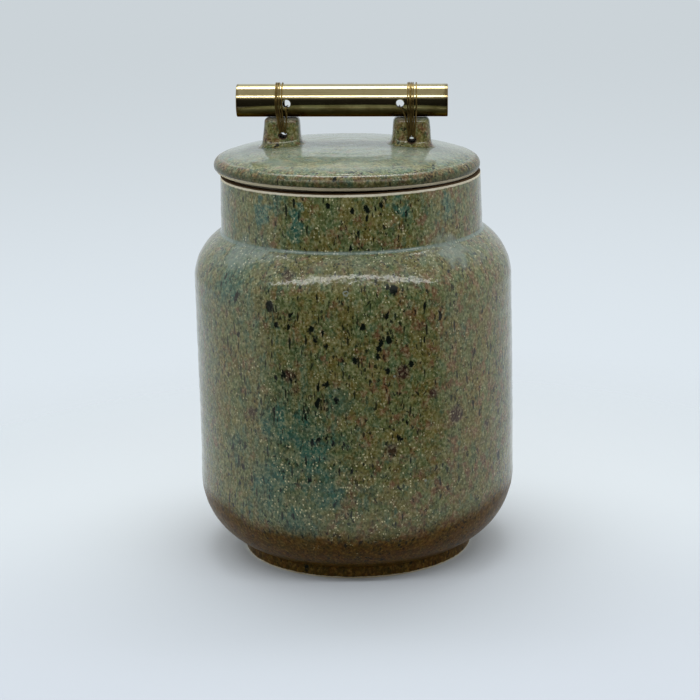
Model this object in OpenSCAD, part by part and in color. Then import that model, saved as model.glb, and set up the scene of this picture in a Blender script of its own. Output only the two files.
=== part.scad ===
// Lidded stoneware storage jar. The lid lifts off. Its handle is a brass tube, bound with wire
// to two pierced clay lugs. Z is up, X runs along the handle, and the foot stands on Z = 0.

/* [Body] */
// Outside diameter where the shoulder begins
body_top_d = 157.0; // [150:0.1:166]
// Outside diameter where the lower curve begins
body_low_d = 157.8; // [150:0.1:166]
// Height at which the shoulder begins
shoulder_z = 139.7; // [120:0.1:146]
// Radius of the shoulder in profile
shoulder_r = 27; // [24:0.5:32]
// Radius of the lower curve in profile
lower_curve_r = 35.3; // [30:0.1:42]
// Thickness of the thrown wall
wall = 6; // [4.5:0.1:7]
// Thickness of the floor inside the foot
floor_t = 5.5; // [4:0.1:8]

/* [Foot] */
// Diameter of the face that the jar stands on
foot_d = 114.8; // [106:0.1:118]
// How much the foot narrows between its face and the body
foot_flare = 0.3; // [0:0.1:2]
// Height of the trimmed foot ring
foot_h = 6; // [4:0.1:9]
// Width of the foot ring
foot_w = 7; // [5:0.1:12]
// Depth of the turned recess under the floor
foot_recess = 4; // [2:0.1:6]
// Bevel on the foot ring's outer edge
foot_bevel = 0.7; // [0.3:0.1:1.5]

/* [Neck] */
// Diameter of the mouth
mouth_d = 115; // [110:0.1:117]
// Thickness of the neck under the rim
neck_wall = 6.35; // [5.5:0.05:7.5]
// How much further out the neck stands at the shoulder than under the rim
neck_taper = 0.55; // [0:0.05:1.5]
// Height of the rim above the foot
rim_z = 191.3; // [182:0.1:205]
// Radius of the rim's outer edge
rim_outer_r = 1.3; // [0.5:0.1:2]
// Radius of the rim's inner edge
rim_inner_r = 1.2; // [0.5:0.1:2]
// Size of the soft corner where the neck meets the shoulder
neck_corner = 1.2; // [0.5:0.1:3]

/* [Lid] */
// How far the lid's widest line stands out past the top of the neck
lid_overhang = 1.35; // [0.5:0.05:3.5]
// Height of the dome above the widest line
lid_dome = 10.9; // [9:0.1:14]
// Radius of the lid's rounded edge
lid_edge_r = 5.5; // [4:0.1:7]
// Depth of the edge below the widest line
lid_edge_drop = 2.65; // [2:0.05:4]
// Height of the bare bevel under the edge
lid_bevel_h = 1.8; // [1:0.1:2]
// Width of the bare bevel under the edge
lid_bevel_w = 1.6; // [1:0.1:3]
// Thickness of the dome
lid_t = 6; // [4:0.1:6.5]
// Height of the lid's edge above the rim, taken at its middle
lid_gap = 1.15; // [1.1:0.05:3]
// Lean of the hand-made lid towards the front and back, in degrees
lid_lean_x = -0.2; // [-0.3:0.01:0.3]
// Lean of the hand-made lid towards the sides, in degrees
lid_lean_y = 0.82; // [-0.9:0.01:0.9]
// How far the lid lies to one side in the loose fit of its flange
lid_shift = -1.6; // [-1.8:0.1:1.8]

/* [Flange under the lid] */
// Clearance between the flange and the mouth, all round
flange_clear = 2.2; // [2:0.1:3.5]
// Depth of the flange below the rim
flange_h = 10; // [6:0.1:16]
// Thickness of the flange
flange_w = 5; // [4:0.1:7]
// Distance from the lid's widest line in to the seat
seat_inset = 4.3; // [4.2:0.1:5]

/* [Lugs] */
// Distance between the middles of the two lugs
lug_spacing = 63; // [56:0.5:72]
// How far the pair of lugs sits to one side
lug_shift = 0.3; // [-2:0.1:2]
// Width of a lug at its top
lug_top_w = 17.2; // [13:0.1:18]
// Width of a lug where it meets the dome
lug_base_w = 19.5; // [18:0.1:22]
// Thickness of a lug at its top, from front to back
lug_top_t = 14; // [12:0.1:16]
// Thickness of a lug where it meets the dome
lug_base_t = 17; // [16:0.1:20]
// Height of the lugs above the dome
lug_h = 13.6; // [11:0.1:18]
// Radius of the corners at a lug's top
lug_corner_r = 2; // [1:0.1:3]
// Diameter of the holes for the wire
lug_hole_d = 4; // [3.8:0.1:5]
// Height of the left hole above the dome
lug_hole_left = 5.7; // [4:0.1:8]
// Height of the right hole above the dome
lug_hole_right = 3.5; // [3.5:0.1:8]
// Fall of the wire holes towards the back, in degrees
lug_hole_fall = 0; // [0:0.5:8]
// Turn of the handle about the lid's middle, in degrees
handle_turn = -2.1; // [-10:0.1:10]

/* [Handle tube] */
// Outside diameter of the tube
tube_d = 15.9; // [14:0.1:18]
// Length of the tube
tube_l = 102.8; // [92:0.1:120]
// Wall of the tube
tube_wall = 1.2; // [0.8:0.1:3]
// How far the tube's middle lies to one side of the lugs
tube_shift = -2.4; // [-4:0.1:4]
// Gap between the tube and the lugs' tops
tube_gap = 0.1; // [0.05:0.05:0.5]
// Bevel on the tube's ends
tube_bevel = 0.35; // [0.1:0.05:0.5]
// Diameter of the two cross holes
cross_hole_d = 3.9; // [3.6:0.1:5]
// Distance between the cross holes
cross_hole_spacing = 55; // [50:0.5:58]
// How far the pair of cross holes sits to one side of the tube's middle
cross_hole_shift = 0.7; // [-2:0.1:2]
// How far the cross holes pass below the tube's middle
cross_hole_drop = 1.5; // [0:0.1:2]
// Fall of the cross holes towards the back, in degrees
cross_hole_fall = 5.5; // [0:0.5:10]

/* [Wire bindings] */
// Diameter of the binding wire
wire_d = 0.7; // [0.5:0.05:0.8]
// Clearance of the wire to the tube and the clay
wire_gap = 0.12; // [0.08:0.01:0.2]
// Length of wire that stands out behind a cross hole
wire_stub = 1.5; // [0.5:0.1:3]
// Length of the wire's cut end up the back of a lug
wire_tail = 3; // [1:0.1:4]

/* [Hidden] */
$fn = 96;

glaze = [0.43, 0.43, 0.31];
brass = [0.72, 0.62, 0.40];
bronze = [0.40, 0.31, 0.15];

body_top_r = body_top_d / 2;
body_low_r = body_low_d / 2;
foot_r = foot_d / 2;
foot_neck_r = foot_r - foot_flare;
mouth_r = mouth_d / 2;
neck_top_r = mouth_r + neck_wall;
neck_base_r = neck_top_r + neck_taper;
// How far pieces of one body run into each other, and how far a cut runs past a face
overlap = 5;
spare = 1;

// Middle of the lower curve, set so that the curve runs into the top of the foot ring
lower_x = body_low_r - lower_curve_r;
lower_z = foot_h + sqrt(pow(lower_curve_r, 2) - pow(foot_neck_r - lower_x, 2));

// Middle of the shoulder's curve, and the height at which it meets the neck
shoulder_x = body_top_r - shoulder_r;
neck_z = shoulder_z + sqrt(pow(shoulder_r, 2) - pow(neck_base_r - shoulder_x, 2));

// Height of the lid's widest line, and the radius of the dome that runs smoothly into its edge
lid_r = neck_top_r + lid_overhang;
lid_z = rim_z + lid_gap + lid_edge_drop;
edge_x = lid_r - lid_edge_r;
dome_r = (pow(edge_x, 2) + pow(lid_dome, 2) - pow(lid_edge_r, 2)) / (2 * (lid_dome - lid_edge_r));
dome_z = lid_dome - dome_r;
meet_x = edge_x * dome_r / (dome_r - lid_edge_r);
meet_z = dome_z - dome_z * dome_r / (dome_r - lid_edge_r);
function dome_at(r) = dome_z + sqrt(dome_r * dome_r - r * r);

flange_r = mouth_r - flange_clear;
flange_in_r = flange_r - flange_w;
seat_r = lid_r - seat_inset;
// The level ring that the dome is set on is buried in the dome everywhere
seat_sink = 3;
seat_h = lid_gap + seat_sink;
// Lip that the widest line keeps above the bevel
bevel_lip = 0.1;

// Heights below are measured from the lid's widest line
lug_base_z = dome_at(lug_spacing / 2);
lug_top_z = lug_base_z + lug_h;
lug_root = 4;
tube_r = tube_d / 2;
tube_z = lug_top_z + tube_gap + tube_r;
tube_x = lug_shift + tube_shift;
left_x = lug_shift - lug_spacing / 2;
right_x = lug_shift + lug_spacing / 2;
left_hole_z = lug_base_z + lug_hole_left;
right_hole_z = lug_base_z + lug_hole_right;
left_cross_x = tube_x + cross_hole_shift - cross_hole_spacing / 2;
right_cross_x = tube_x + cross_hole_shift + cross_hole_spacing / 2;

// Half of a lug's thickness at a height
function lug_half(z) = lug_top_t / 2 + (lug_base_t - lug_top_t) / 2 * (lug_top_z - z) / lug_h;

// Half of a disc's profile, kept above or below the level of its middle
module half_disc(x, z, r, side) {
    intersection() {
        translate([x, z]) circle(r);
        translate([0, side > 0 ? z : z - r]) square([x + r, r]);
    }
}

// Profile from the foot to the rim, drawn inwards by t. The lower curve has its own radius.
module jar_profile(t, low_r, top, neck_low, neck_high) {
    low_x = body_low_r - t - low_r;
    half_disc(low_x, lower_z, low_r, -1);
    translate([0, lower_z - low_r]) square([low_x, low_r]);
    polygon([
        [0, lower_z - overlap], [low_x, lower_z - overlap], [body_low_r - t, lower_z],
        [body_top_r - t, shoulder_z], [shoulder_x, shoulder_z + overlap], [0, shoulder_z + overlap]
    ]);
    half_disc(shoulder_x, shoulder_z, shoulder_r - t, 1);
    polygon([[0, shoulder_z], [neck_low, shoulder_z], [neck_low, neck_z], [neck_high, top], [0, top]]);
}

// What a rounded edge of radius r takes off a square corner, with the wall on the given side
module edge_cut(x, z, r, side) {
    difference() {
        translate([side > 0 ? x - r : x - spare, z - r]) square([r + spare, r + spare]);
        translate([x - side * r, z - r]) circle(r);
    }
}

module jar_section() {
    difference() {
        union() {
            intersection() {
                jar_profile(0, lower_curve_r, rim_z, neck_base_r, neck_top_r);
                translate([0, foot_recess]) square([body_low_r + body_top_r, rim_z]);
            }
            polygon([
                [foot_r - foot_w, 0], [foot_r - foot_bevel, 0], [foot_r, foot_bevel],
                [foot_neck_r, foot_h], [foot_neck_r, foot_h + spare], [foot_r - foot_w, foot_h + spare]
            ]);
            polygon([
                [neck_base_r - spare, neck_z - spare], [neck_base_r + neck_corner, neck_z - neck_corner],
                [neck_base_r, neck_z + neck_corner], [neck_base_r - spare, neck_z + neck_corner]
            ]);
        }
        jar_profile(wall, lower_z - foot_recess - floor_t, rim_z + spare, mouth_r, mouth_r);
        edge_cut(neck_top_r, rim_z, rim_outer_r, 1);
        edge_cut(mouth_r, rim_z, rim_inner_r, -1);
    }
}

module jar() {
    color(glaze) rotate_extrude() jar_section();
}

// Everything that leans with the dome is drawn inside this frame, at heights from its widest line
module on_lid() {
    translate([lid_shift, 0, lid_z]) rotate([lid_lean_x, lid_lean_y, 0]) children();
}

// And what the handle carries turns about the dome's middle too
module on_handle() {
    on_lid() rotate([0, 0, handle_turn]) children();
}

module dome_section() {
    bottom = -lid_edge_drop;
    difference() {
        union() {
            intersection() {
                translate([0, dome_z]) circle(dome_r, $fn = 720);
                polygon([
                    [0, bottom], [edge_x, bottom], [edge_x, 0], [meet_x, meet_z],
                    [meet_x, lid_dome + spare], [0, lid_dome + spare]
                ]);
            }
            intersection() {
                translate([edge_x, 0]) circle(lid_edge_r);
                translate([0, bottom]) square([lid_r + spare, lid_edge_r + lid_edge_drop]);
            }
        }
        polygon([
            [lid_r - lid_bevel_w, bottom - spare], [lid_r + spare, bottom - spare],
            [lid_r + spare, bottom + lid_bevel_h], [lid_r - bevel_lip, bottom + lid_bevel_h],
            [lid_r - lid_bevel_w, bottom]
        ]);
    }
}

module under_dome_section() {
    intersection() {
        translate([0, dome_z]) circle(dome_r - lid_t, $fn = 720);
        translate([0, -flange_h * 2]) square([flange_in_r, flange_h * 2 + lid_dome]);
    }
}

// Level ring under the leaning dome: its flat face sits on the rim and its flange in the mouth
module seat() {
    translate([lid_shift, 0, rim_z]) {
        cylinder(r = seat_r, h = seat_h);
        translate([0, 0, -flange_h]) cylinder(r = flange_r, h = flange_h + seat_h);
    }
}

// Outline of a lug, as wide as w_top and w_base, with rounded corners at its top
module lug_outline(w_top, w_base) {
    slope = (w_base - w_top) / 2 / lug_h;
    low = lug_root - lug_base_z;
    base = w_base / 2 - slope * low;
    shoulder = w_top / 2 + slope * lug_corner_r;
    corner = w_top / 2 - lug_corner_r;
    polygon([
        [-base, low], [base, low], [shoulder, lug_h - lug_corner_r],
        [corner, lug_h - lug_corner_r], [corner, lug_h], [-corner, lug_h],
        [-corner, lug_h - lug_corner_r], [-shoulder, lug_h - lug_corner_r]
    ]);
    for (side = [-1, 1]) {
        translate([side * corner, lug_h - lug_corner_r]) circle(lug_corner_r);
    }
}

module lug() {
    depth = lug_base_t + lug_base_w;
    intersection() {
        rotate([90, 0, 0]) linear_extrude(depth, center = true) lug_outline(lug_top_w, lug_base_w);
        rotate([90, 0, 90]) linear_extrude(depth, center = true) lug_outline(lug_top_t, lug_base_t);
    }
}

module wire_hole(x, z, d, fall, length) {
    translate([x, 0, z]) rotate([90 - fall, 0, 0]) cylinder(d = d, h = length, center = true);
}

module lid() {
    color(glaze) difference() {
        union() {
            difference() {
                union() {
                    on_lid() rotate_extrude() dome_section();
                    seat();
                }
                on_lid() rotate_extrude() under_dome_section();
            }
            on_handle() {
                translate([left_x, 0, lug_base_z]) lug();
                translate([right_x, 0, lug_base_z]) lug();
            }
        }
        on_handle() {
            wire_hole(left_x, left_hole_z, lug_hole_d, lug_hole_fall, lug_base_t * 2);
            wire_hole(right_x, right_hole_z, lug_hole_d, lug_hole_fall, lug_base_t * 2);
        }
    }
}

module tube_section() {
    inner = tube_r - tube_wall;
    half = tube_l / 2;
    polygon([
        [inner, -half], [tube_r - tube_bevel, -half], [tube_r, tube_bevel - half],
        [tube_r, half - tube_bevel], [tube_r - tube_bevel, half], [inner, half]
    ]);
}

module handle_tube() {
    color(brass) on_handle() difference() {
        translate([tube_x, 0, tube_z]) rotate([0, 90, 0]) rotate_extrude() tube_section();
        wire_hole(left_cross_x, tube_z - cross_hole_drop, cross_hole_d, cross_hole_fall, tube_d * 2);
        wire_hole(right_cross_x, tube_z - cross_hole_drop, cross_hole_d, cross_hole_fall, tube_d * 2);
    }
}

// The wire is one tube swept along its route. Each ring of its skin stands square to the route.
wire_sides = 8;
wire_r = wire_d / 2;
// Radius of the route over the tube, and its bend into a lug's hole
turn_r = tube_r + wire_gap + wire_r;
bend_r = wire_d;

function unit(v) = v / norm(v);
function along(route, i) =
    unit(route[min(i + 1, len(route) - 1)] - route[max(i - 1, 0)]);
function across(t) = unit([1, 0, 0] - t[0] * t);

module sweep_wire(route) {
    rings = len(route);
    skin = [
        for (i = [0:rings - 1])
        let (t = along(route, i), a = across(t), b = cross(t, a))
        for (k = [0:wire_sides - 1])
        route[i] + wire_r * (a * cos(k * 360 / wire_sides) + b * sin(k * 360 / wire_sides))
    ];
    faces = [
        for (i = [0:rings - 2]) for (k = [0:wire_sides - 1])
        let (n = (k + 1) % wire_sides, p = i * wire_sides, q = p + wire_sides)
        [p + k, q + k, q + n, p + n]
    ];
    start = [for (k = [0:wire_sides - 1]) k];
    end = [for (k = [wire_sides - 1:-1:0]) (rings - 1) * wire_sides + k];
    polyhedron(points = skin, faces = concat([start], faces, [end]), convexity = 10);
}

// Strands lie side by side under the roof of a lug's hole. Slot k of n is counted along dir.
slot_r = lug_hole_d / 2 - wire_gap - wire_r;
slot_step = 2 * asin((wire_r + wire_gap / 3) / slot_r);
function slot(k, n, dir) =
    let (a = 90 - dir * (k - n / 2) * slot_step)
    [slot_r * cos(a), slot_r * sin(a)];

// One pass through a lug's hole from front to back, with a bend at each mouth
function through_hole(x, z, s) =
    let (
        y = lug_half(z) + wire_gap + wire_r,
        drop = y * tan(lug_hole_fall)
    )
    concat(
        [for (a = [0:30:90]) [x + s[0], -y + bend_r * (1 - cos(a)), z + s[1] + drop + bend_r * (1 - sin(a))]],
        [for (a = [90:-30:0]) [x + s[0], y - bend_r * (1 - cos(a)), z + s[1] - drop + bend_r * (1 - sin(a))]]
    );

// One turn over the tube from back to front, at place x along it
function over_tube(x) =
    [for (a = [0:15:180]) [x, turn_r * cos(a), tube_z + turn_r * sin(a)]];

// From behind the tube, through its cross hole and out at the front
function from_cross_hole(x) =
    let (y = tube_r + wire_gap, fall = tan(cross_hole_fall), z = tube_z - cross_hole_drop)
    [
        [x, y + wire_stub, z - (y + wire_stub) * fall],
        [x, 0, z],
        [x, -y, z + y * fall],
        [x, -y - wire_r, z + y * fall - wire_r]
    ];

// Whole route: cross hole, lug hole, then turn after turn, and a cut end behind the lug
function binding_route(cross_x, lug_x, hole_z, turns, dir) =
    let (
        n = len(turns),
        last = slot(n, n, dir),
        back = lug_half(hole_z) + wire_gap + wire_r,
        drop = back * tan(lug_hole_fall)
    )
    concat(
        from_cross_hole(cross_x),
        through_hole(lug_x, hole_z, slot(0, n, dir)),
        [
            for (k = [1:n])
            each concat(over_tube(lug_x + turns[k - 1]), through_hole(lug_x, hole_z, slot(k, n, dir)))
        ],
        [[lug_x + last[0], back, hole_z + last[1] - drop + bend_r + wire_tail]]
    );

// Places of the turns along the tube, in wire diameters from the middle of the lug
left_turns = wire_d * [0.2, -1.9, -3.05, -4.2];
right_turns = wire_d * [-2.6, -1.45, -0.3, 0.9, 3.1];

module binding_left() {
    color(bronze) on_handle()
        sweep_wire(binding_route(left_cross_x, left_x, left_hole_z, left_turns, -1));
}

module binding_right() {
    color(bronze) on_handle()
        sweep_wire(binding_route(right_cross_x, right_x, right_hole_z, right_turns, 1));
}

jar();
lid();
handle_tube();
binding_left();
binding_right();
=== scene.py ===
import math

import bmesh
import bpy
from mathutils import Matrix, Vector, noise


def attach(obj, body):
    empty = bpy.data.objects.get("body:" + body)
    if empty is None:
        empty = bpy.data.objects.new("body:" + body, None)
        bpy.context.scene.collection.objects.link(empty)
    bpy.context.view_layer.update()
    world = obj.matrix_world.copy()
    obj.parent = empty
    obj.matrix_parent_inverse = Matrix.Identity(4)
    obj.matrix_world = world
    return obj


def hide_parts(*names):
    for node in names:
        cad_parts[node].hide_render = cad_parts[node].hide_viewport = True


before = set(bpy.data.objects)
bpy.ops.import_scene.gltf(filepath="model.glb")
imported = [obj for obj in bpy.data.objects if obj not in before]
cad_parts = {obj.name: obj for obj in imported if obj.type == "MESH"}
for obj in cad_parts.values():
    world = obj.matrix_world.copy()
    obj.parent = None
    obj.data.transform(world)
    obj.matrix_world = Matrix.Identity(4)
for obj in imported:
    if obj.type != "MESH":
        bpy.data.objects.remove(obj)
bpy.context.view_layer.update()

# Lengths in this file are millimetres, and MM turns them into Blender's metres.
MM = 0.001

# Jar, as thrown: the same sizes as its solid
BODY_TOP_R = 78.5
BODY_LOW_R = 78.9
SHOULDER_Z = 139.7
SHOULDER_R = 27.0
LOWER_R = 35.3
LOWER_Z = 38.62
WALL = 6.0
FLOOR_Z = 9.5
FOOT_R = 57.4
FOOT_IN_R = 50.4
FOOT_H = 6.0
FOOT_RECESS = 4.0
NECK_BASE_R = 64.4
NECK_TOP_R = 63.85
NECK_Z = 163.42
MOUTH_R = 57.5
RIM_Z = 191.3

# Lid: a dome that leans a little and lies to one side, on a level seat and flange
LID_R = 65.2
LID_DOME = 10.9
LID_Z = 195.1
LID_SHIFT = -1.6
LID_LEAN_X = -0.2
LID_LEAN_Y = 0.82
LID_T = 6.0
SEAT_R = 59.2
FLANGE_R = 55.3
FLANGE_IN_R = 50.3
FLANGE_H = 10.0
SEAT_Z = RIM_Z - LID_Z

# Handle: lugs, tube and wire, turned a little about the dome's middle
HANDLE_TURN = -2.1
LUG_BASE_Z = 9.43
LUG_H = 13.6
LUG_TOP_Z = LUG_BASE_Z + LUG_H
LEFT_X = -31.2
LEFT_HOLE_X = -30.9
RIGHT_X = 31.8
LUG_TOP_T = 14.0
LUG_BASE_T = 17.0
HOLE_R = 2.0
HOLE_FALL = 0.0
LEFT_HOLE_Z = LUG_BASE_Z + 5.7
RIGHT_HOLE_Z = LUG_BASE_Z + 3.5
TUBE_R = 7.95
TUBE_IN_R = 6.75
TUBE_L = 102.8
TUBE_X = -2.1
TUBE_Z = LUG_TOP_Z + 0.1 + TUBE_R
CROSS_X = (-28.9, 26.1)
CROSS_R = 1.95
CROSS_DROP = 1.5
CROSS_FALL = 5.5
WIRE_R = 0.35
WIRE_GAP = 0.12

LID_PLACE = (
    Matrix.Translation((LID_SHIFT * MM, 0, LID_Z * MM))
    @ Matrix.Rotation(math.radians(LID_LEAN_Y), 4, "Y")
    @ Matrix.Rotation(math.radians(LID_LEAN_X), 4, "X")
)
HANDLE_PLACE = LID_PLACE @ Matrix.Rotation(math.radians(HANDLE_TURN), 4, "Z")


def srgb(r, g, b):
    """A colour read off in 0 to 255 steps, as Blender's linear colour."""
    return tuple(
        (c / 255 / 12.92) if c <= 10 else ((c / 255 + 0.055) / 1.055) ** 2.4 for c in (r, g, b)
    ) + (1.0,)


# ---- shapes ----


def arc(x, z, r, start, end, step):
    """Points on a circle in profile, from one angle to another."""
    n = max(2, int(abs(math.radians(end - start)) * r / step))
    angles = [math.radians(start + (end - start) * i / n) for i in range(n + 1)]
    return [(x + r * math.cos(a), z + r * math.sin(a)) for a in angles]


def spaced(points, step):
    """The same profile with a point at least every step."""
    out = [points[0]]
    for p, q in zip(points, points[1:]):
        n = max(1, int(math.dist(p, q) / step))
        out += [(p[0] + (q[0] - p[0]) * i / n, p[1] + (q[1] - p[1]) * i / n) for i in range(1, n + 1)]
    return out


def smooth_mesh(name, verts, faces, place, sharp=38):
    mesh = bpy.data.meshes.new(name)
    mesh.from_pydata([(x * MM, y * MM, z * MM) for x, y, z in verts], [], faces)
    mesh.validate()
    bm = bmesh.new()
    bm.from_mesh(mesh)
    bmesh.ops.recalc_face_normals(bm, faces=bm.faces)
    bm.to_mesh(mesh)
    bm.free()
    mesh.shade_smooth()
    mesh.set_sharp_from_angle(angle=math.radians(sharp))
    obj = bpy.data.objects.new(name, mesh)
    bpy.context.scene.collection.objects.link(obj)
    obj.matrix_world = place
    return obj


def turned(name, profile, segments, place, wobble=None, sharp=38):
    """A form thrown on the wheel or turned on the lathe: a profile round the Z axis."""
    verts, faces, rings = [], [], []
    for r, z in profile:
        if r < 1e-6:
            rings.append([len(verts)] * segments)
            verts.append((0, 0, z))
            continue
        rings.append(list(range(len(verts), len(verts) + segments)))
        for k in range(segments):
            a = 2 * math.pi * k / segments
            dr, dz = wobble(r, z, a) if wobble else (0, 0)
            verts.append(((r + dr) * math.cos(a), (r + dr) * math.sin(a), z + dz))
    for low, high in zip(rings, rings[1:]):
        for k in range(segments):
            n = (k + 1) % segments
            face = [low[k], low[n], high[n], high[k]]
            face = [v for i, v in enumerate(face) if v not in face[:i]]
            if len(face) > 2:
                faces.append(face)
    return smooth_mesh(name, verts, faces, place, sharp)


def cut_away(obj, cutters, sharp=38):
    """Bores holes in a piece and leaves no modifier on it."""
    for cutter in cutters:
        mod = obj.modifiers.new("bore", "BOOLEAN")
        mod.operation = "DIFFERENCE"
        mod.solver = "EXACT"
        mod.object = cutter
    bpy.context.view_layer.update()
    made = bpy.data.meshes.new_from_object(obj.evaluated_get(bpy.context.evaluated_depsgraph_get()))
    obj.modifiers.clear()
    obj.data = made
    made.shade_smooth()
    made.set_sharp_from_angle(angle=math.radians(sharp))
    for cutter in cutters:
        bpy.data.objects.remove(cutter)
    return obj


def bore(x, z, r, fall, half, flare, place):
    """A drilled hole from front to back, eased where it comes out at half on either side."""
    ends = [(r + flare - math.sqrt(max(0, flare**2 - (flare * i / 6) ** 2)), half - flare + flare * i / 6) for i in range(7)]
    outer = [(ends[-1][0] + 0.6, half + 2.5), (0, half + 2.5)]
    profile = [(p, -q) for p, q in reversed(ends + outer)] + ends + outer
    tilt = Matrix.Translation((x * MM, 0, z * MM)) @ Matrix.Rotation(math.radians(90 - fall), 4, "X")
    return turned("bore", profile, 48, place @ tilt)


def thrown(r, z, a):
    """Small unevenness of a pot thrown and glazed by hand."""
    p = Vector((r * math.cos(a), r * math.sin(a), z))
    calm = min(1, max(0, (z - 4) / 25)) * min(1, max(0.25, (RIM_Z - z) / 20))
    swell = 0.10 * math.sin(2 * a + 0.6 + z * 0.01) + 0.05 * math.sin(3 * a + 2)
    ridges = 0.035 * math.sin(2 * math.pi * z / 7.3 + a + 1.5 * noise.noise(p / 60))
    skin = 0.16 * noise.noise(p / 16) + 0.075 * noise.noise(p / 6 + Vector((9, 2, 5))) + 0.03 * noise.noise(p / 2.6)
    # The lower half stands a little off centre
    lean = 0.5 * math.cos(a) * min(1, max(0, (z - 15) / 40)) * min(1, max(0, (150 - z) / 60))
    return (calm * (swell + ridges) + skin * (0.35 + 0.65 * calm) + lean, 0)


def jar_profile():
    lower_x = BODY_LOW_R - LOWER_R
    shoulder_x = BODY_TOP_R - SHOULDER_R
    foot_neck = FOOT_R - 0.3
    inside_low = LOWER_Z - FLOOR_Z
    start = math.degrees(math.asin((FOOT_H - LOWER_Z) / LOWER_R))
    neck_turn = math.degrees(math.acos((NECK_BASE_R + 0.5 - shoulder_x) / SHOULDER_R))
    inner_turn = math.degrees(math.acos((MOUTH_R - shoulder_x) / (SHOULDER_R - WALL)))
    step = 0.7
    points = [(0, FOOT_RECESS + 0.6), (30, FOOT_RECESS + 0.3), (FOOT_IN_R - 1.5, FOOT_RECESS)]
    points += arc(FOOT_IN_R - 1.2, FOOT_RECESS - 1.2, 1.2, 90, 0, 0.2)
    points += [(FOOT_IN_R, 0.5), (FOOT_IN_R + 0.5, 0), (FOOT_R - 0.9, 0)]
    points += arc(FOOT_R - 0.7, 0.7, 0.7, -80, 0, 0.12)
    points += [(FOOT_R - 0.1, 2.5), (foot_neck - 0.1, FOOT_H - 1.0), (foot_neck + 0.05, FOOT_H - 0.2)]
    points += arc(lower_x, LOWER_Z, LOWER_R, start + 1.2, 0, step)
    points += arc(shoulder_x, SHOULDER_Z, SHOULDER_R, 0, neck_turn, 0.5)
    points += [(NECK_BASE_R + 0.25, NECK_Z + 0.15), (NECK_BASE_R + 0.02, NECK_Z + 0.75)]
    points += [(NECK_BASE_R - 0.03, NECK_Z + 1.6)]
    points += arc(NECK_TOP_R - 0.8, RIM_Z - 0.8, 0.8, 0, 90, 0.12)
    points += arc(MOUTH_R + 1.2, RIM_Z - 1.2, 1.2, 90, 180, 0.15)
    points += arc(shoulder_x, SHOULDER_Z, SHOULDER_R - WALL, inner_turn, 0, 0.8)
    points += arc(BODY_LOW_R - WALL - inside_low, LOWER_Z, inside_low, 0, -90, 0.9)
    points += [(0, FLOOR_Z + 0.4)]
    return spaced(points, step)


def make_jar():
    jar = turned("thrown_jar", jar_profile(), 384, Matrix.Identity(4), thrown, sharp=50)
    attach(jar, "jar")
    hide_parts("jar")
    return jar


def dome_height(r):
    return LID_DOME * (1 - min(1, r / LID_R) ** 2) ** 0.41


def make_lid_dome():
    rim = [(r, dome_height(r)) for r in [61.4 * (1 - (1 - i / 80) ** 1.3) for i in range(81)]]
    # The edge is fuller than the dome's own curve, with a short steep side
    edge = [(60.6, dome_height(60.6)), (61.4, dome_height(61.4)), (62.2, 4.35), (62.9, 4.06), (63.5, 3.72),
            (64.1, 3.24), (64.6, 2.6), (64.95, 1.9), (65.2, 1.15), (65.3, 0.5), (LID_R + 0.05, 0)]
    rim += [(p.x, p.y) for p in softened([(r, z, 0) for r, z in edge[1:]], 0.15)][1:]
    below = [(LID_R + 0.02, -0.45), (LID_R - 0.08, -0.8), (LID_R - 0.4, -1.05), (LID_R - 1.5, -2.5),
             (LID_R - 1.75, -2.65), (51.6, -2.65), (51.6, 0.95)]
    under_z, under_r = LID_DOME - 338.2, 338.2 - LID_T
    inside = [(r, under_z + math.sqrt(under_r**2 - r * r)) for r in range(51, 0, -1)]
    profile = spaced(rim + below + inside + [(0, LID_DOME - LID_T)], 0.8)

    def uneven(r, z, a):
        p = Vector((r * math.cos(a), r * math.sin(a), z))
        lift = 0.07 * noise.noise(p / 14) + 0.035 * noise.noise(p / 5) + 0.03 * math.sin(2 * math.pi * r / 8.5 + a)
        side = 0.05 * noise.noise(p / 9 + Vector((4, 4, 4))) if r > 40 else 0
        return (side, lift if z > -0.5 and r < LID_R - 0.5 else 0)

    lid = turned("lid_dome", profile, 320, LID_PLACE, uneven, sharp=50)
    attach(lid, "lid")
    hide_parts("lid")
    return lid


def make_lid_flange():
    profile = [(SEAT_R, 0.4), (SEAT_R, SEAT_Z + 0.2), (SEAT_R - 0.3, SEAT_Z), (FLANGE_R + 0.6, SEAT_Z)]
    profile += arc(FLANGE_R + 0.6, SEAT_Z - 0.6, 0.6, 90, 180, 0.1)
    profile += arc(FLANGE_R - 1, SEAT_Z - FLANGE_H + 1, 1, 0, -90, 0.15)
    profile += arc(FLANGE_IN_R + 1, SEAT_Z - FLANGE_H + 1, 1, -90, -180, 0.15)
    profile += [(FLANGE_IN_R, 1.5)]
    place = Matrix.Translation((LID_SHIFT * MM, 0, LID_Z * MM))
    flange = turned("lid_flange", spaced(profile, 0.8), 256, place, lambda r, z, a: (0.05 * math.sin(3 * a), 0), 45)
    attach(flange, "lid")
    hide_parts("lid")
    return flange


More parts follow.
